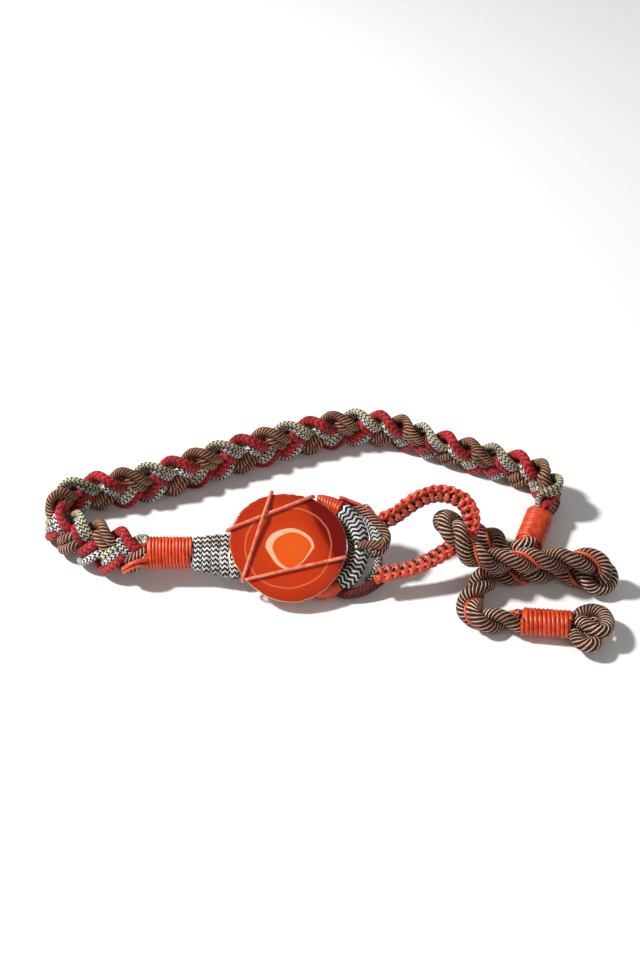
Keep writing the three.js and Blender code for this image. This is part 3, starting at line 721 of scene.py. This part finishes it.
def make_stone():
    rng = np.random.default_rng(11)
    sides = 220
    chip_depth = 0.9
    chips = np.convolve(np.tile(rng.uniform(0, 1, sides), 3), np.ones(3) / 3, "same")[sides:2 * sides]
    # Height of each ring of the rim, and how far it is drawn in
    levels = [(STONE_BACK, 1.4), (STONE_BACK + 0.7, 0.5), (STONE_BACK + 1.8, 0.1), (STONE_FACE - 2.0, 0.0),
              (STONE_FACE - 0.9, 0.25), (STONE_FACE - 0.25, 0.7), (STONE_FACE, 1.5), (STONE_FACE, 4.0),
              (STONE_FACE, 10.0)]
    bm = bmesh.new()
    rings = [bmesh.ops.create_circle(bm, segments=sides, radius=1.0)["verts"]]
    edges = bm.edges[:]
    for _ in levels[1:]:
        grown = bmesh.ops.extrude_edge_only(bm, edges=edges)["geom"]
        ring = [g for g in grown if isinstance(g, bmesh.types.BMVert)]
        rings.append(ring)
        in_ring = set(ring)
        edges = [g for g in grown if isinstance(g, bmesh.types.BMEdge)
                 and all(v in in_ring for v in g.verts)]
    uv = bm.loops.layers.uv.new("UVMap")
    from_rim = bm.loops.layers.uv.new("FromRim")
    spots, insets = {}, {}
    for verts, (height, shrink) in zip(rings, levels):
        for vert in verts:
            turn = math.atan2(vert.co.y, vert.co.x)
            chip = chips[int(round(turn / (2 * math.pi) * sides)) % sides]
            rough = chip_depth * chip if shrink < 2 else 0.0
            spots[vert] = (*stone_reach(turn, shrink + rough), height)
            insets[vert] = shrink if height > STONE_BACK + STONE_THICK / 2 else 0.0
    bmesh.ops.holes_fill(bm, edges=[e for e in bm.edges if e.is_boundary], sides=0)
    for vert, spot in spots.items():
        vert.co = Vector(in_front(spot) * MM)
    for face in bm.faces:
        for loop in face.loops:
            loop[uv].uv = spots[loop.vert][:2]
            loop[from_rim].uv = (insets[loop.vert], 0.0)
    bmesh.ops.recalc_face_normals(bm, faces=bm.faces)
    finish("agate_slice_polished", bm, AGATE, ["agate_slice"])


make_stone()


# Thin laces over the stone

LACE_THICK = 2.6


def stone_lace(start_turn, end_turn, bump, bump_at, tucked):
    """A straight run over the stone's face between two places on its rim, tucked behind the rim or cut off
    just beyond it. A bump lifts it over the lace below."""
    lift = STONE_FACE + GAP + 0.8
    start, end = (np.array(stone_reach(math.radians(turn))) for turn in (start_turn, end_turn))
    slant = math.sin(math.radians(abs(end_turn - start_turn)) / 2) * np.linalg.norm(end - start)
    # Places beyond the rim and their heights, from the back to the face
    over_rim = [(-2, STONE_BACK - GAP - 1.2), (1.4, STONE_BACK - 0.5),
                (1.9, STONE_BACK + STONE_THICK / 2), (0.5, lift - 0.3)]
    rows = [(-out / slant, z) for out, z in over_rim] if tucked else [(0.0, lift - 0.1)]
    rows += [(0.06, lift)]
    rows += [(bump_at + away, lift + bump * share) for away, share in ((-0.09, 0.72), (0, 1), (0.09, 0.72))]
    rows += [(0.8, lift), (0.94, lift)]
    rows += [(1 + out / slant, z) for out, z in (over_rim[::-1] if tucked else over_rim[-1:])]
    return cord_line(in_front([[*(start + (end - start) * share), z] for share, z in rows]), 0.9)


def make_laces():
    # Ends of a run in degrees round the stone, its bump and where that is, and whether its ends are tucked
    runs = [("side", 107, 216, 2.2, 0.278, True), ("upper", 161, 68, 0.0, 0.5, True),
            ("lower", 219, 350, 0.0, 0.5, False)]
    for name, start, end, bump, bump_at, tucked in runs:
        line = stone_lace(start, end, bump, bump_at, tucked)
        tube(f"lace_{name}_tied", line, PALE_LACE, "thin_lace", LACE_THICK, 2.0, [f"lace_{name}"], sides=10)


make_laces()


# Collar round the stone's right side

COLLAR_CORD, COLLAR_OUTER, COLLAR_BULGE, COLLAR_LIFT, COLLAR_TUCK = 13.0, 12.5, 15.0, 2.0, 5.0
COLLAR_REACH = STONE_WIDTH / 2 + GAP + COLLAR_CORD / 2 + 1.8
OUTER_REACH = COLLAR_REACH + (COLLAR_CORD + COLLAR_OUTER) / 2 * math.cos(math.pi / 8) + 2 * GAP


def collar_line(from_turn, to_turn, reach=COLLAR_REACH, proud=1.5):
    """A bow round the stone's right edge that dips under the stone at both ends."""
    rows = []
    under = STONE_BACK - GAP - COLLAR_CORD / 2
    for turn in np.radians(np.linspace(from_turn, to_turn, 40)):
        tucked = 1 - math.cos(turn)
        out = reach - 2 * COLLAR_BULGE * tucked
        rows.append([out * math.cos(turn), COLLAR_LIFT + out * math.sin(turn),
                     proud + (under - proud) * min(1, COLLAR_TUCK * tucked)])
    return Line(in_front(rows), [FRONT_AXES[2]] * len(rows))


def make_collar():
    for name, node, start, end, seed in (("top", "lace_stub_top", 57, 37.3, 21),
                                         ("bottom", "lace_stub_bottom", -37.3, -57, 23)):
        axis = collar_line(start, end)
        bm = bmesh.new()
        winding_into(bm, axis, COLLAR_CORD, COLLAR_CORD, 8, 2.9, 2.0, start=0.2, uneven=0.02, seed=seed)
        tube_into(bm, axis, COLLAR_CORD - 3, COLLAR_CORD - 3, sides=16)
        finish(f"lace_wound_stub_{name}", bm, LACE, [node])
    for name, start, end in (("upper", 38, 0.4), ("lower", -0.4, -38)):
        tube(f"collar_zebra_{name}", collar_line(start, end), ZEBRA_WIDE, "zebra_cord",
             COLLAR_CORD * 0.94, COLLAR_CORD * 1.06, [f"collar_cord_{name}"], sides=18)
    tube("collar_zebra_outer", collar_line(30, -4.8, OUTER_REACH, 0), ZEBRA, "rust_cord",
         COLLAR_OUTER * 0.8, nodes=["collar_cord_outer"], sides=16)
    tube("collar_dark_inner", collar_line(40, -40, COLLAR_REACH - 6.5, -1.5), TAIL_RUST, "rust_cord", 5.4)
    # Cords that cross beside the bow, with their widths and their places along, across and out of the stone
    strands = [
        ("brown_over", TAIL_RUST, "rust_cord", 6.4,
         [(47, 33, 1), (62, 20, 4), (70, 9, 4), (66, -1, 4), (57, -4, 2)]),
        ("brown_crossing", RUST, "rust_cord", 6.0,
         [(49, 1, 7), (58, 3, 8), (66, 2, 7), (71, 8, 2)]),
        ("zebra_crossing", ZEBRA, "zebra_cord", 6.4,
         [(51, 2, 5), (60, -1, 4), (64, -6, 1), (62, -16, -2), (55, -24, -4)]),
        ("crimson_upper", CRIMSON, "crimson_cord", 7.0,
         [(31, 33, 0), (43, 33.5, -2), (55, 27, -2), (66, 18, 0)]),
        # The lower crimson cord takes the copy of the crimson cord with painted shade
        ("crimson_lower", CRIMSON_SHADED, "crimson_cord", 8.0,
         [(33, -29, 0), (42, -31.5, 0), (54, -29, 0), (68, -20, 0)]),
    ]
    for name, cord_material, slot, width, rows in strands:
        tube("collar_" + name, cord_line(in_front(rows)), cord_material, slot, width)
    thin = cord_line(in_front([(36, 38, 3), (52, 31, 4), (64, 22, 4), (68, 16, 3)]))
    tube("collar_thin_lace", thin, KNOT_LACE, "lace_winding", 2.4, sides=8)


make_collar()


# Knotted loop

# Its middle line, along and across the loop in lengths and rises of it
LOOP_ROWS = [
    (-0.050, 0.286), (0.110, 0.365), (0.292, 0.503), (0.495, 0.610), (0.695, 0.625),
    (0.884, 0.538), (0.978, 0.353), (0.944, 0.175), (0.794, 0.028), (0.629, -0.078),
    (0.444, -0.190), (0.245, -0.265), (0.002, -0.317), (-0.150, -0.355),
]
LOOP_START = OUTER_REACH + COLLAR_OUTER / 2


def make_knotted_loop():
    """Two cords side by side, the half hitches round them and the plaited ridge along their outer edge."""
    rows = [[LOOP_START + a * LOOP_LENGTH, r * LOOP_RISE, 0.0] for a, r in LOOP_ROWS]
    places = smooth_path(in_loop(rows), 30)[0]
    along = unit(np.gradient(places, axis=0))
    axis = Line(places, np.cross(LOOP_AXES[2], along), 0.8)
    turns = int(round(axis.length / HITCH_PITCH))
    bm = bmesh.new()
    for offset in (-2.6, 2.2):
        line = Line(axis.points + axis.sides * offset, axis.sides, 1.2)
        tube_into(bm, line, 4.8, 5.6)
    # The core cords' colour has painted shade, for the dark gaps between the hitches
    finish("knotted_loop_core", bm, ZEBRA_SHADED)
    bm = bmesh.new()
    winding_into(bm, axis, LOOP_BAND - 0.5, LOOP_THICK - 1.5, turns, 3.9, 2.2,
                 start=0.25, uneven=0.03, seed=31)
    ridge = Line(axis.points + axis.sides * (LOOP_BAND / 2 - 2.2) + axis.faces * 3.0, axis.faces, 0.8)
    for pitch in (2 * HITCH_PITCH, -2 * HITCH_PITCH):
        for phase in (0.0, 0.5):
            tube_into(bm, helix(ridge, 1.7, pitch, phase, 1.0), 3.6, 2.4, sides=8)
    finish("knotted_loop_lace", bm, KNOT_LACE, ["macrame_loop"])


make_knotted_loop()


# Floor and soft studio light

def make_studio():
    bm = bmesh.new()
    bmesh.ops.create_grid(bm, x_segments=1, y_segments=1, size=3.0)
    mesh = bpy.data.meshes.new("floor")
    bm.to_mesh(mesh)
    bm.free()
    floor = bpy.data.objects.new("floor", mesh)
    just_under = 0.0002
    floor.location.z = cad_box[0][2] - just_under
    mesh.materials.append(plain("matt_paper_floor", "#F4F3F1", 0.9))
    bpy.context.collection.objects.link(floor)
    world = bpy.data.worlds.new("studio")
    bpy.context.scene.world = world
    world.use_nodes = True
    background = world.node_tree.nodes["Background"]
    background.inputs["Color"].default_value = (1, 1, 1, 1)
    background.inputs["Strength"].default_value = 0.26
    # Place and size in metres, power in watts
    for name, place, size, power in (("key", (-1.22, 0.16, 1.44), 0.19, 51),
                                     ("fill", (0.7, -1.0, 0.9), 0.9, 2)):
        data = bpy.data.lights.new(name, "AREA")
        data.size = size
        data.energy = power
        light = bpy.data.objects.new(name, data)
        light.location = place
        light.rotation_euler = (-Vector(place)).to_track_quat("-Z", "Y").to_euler()
        bpy.context.collection.objects.link(light)
    bpy.context.scene.view_settings.view_transform = "Standard"


make_studio()
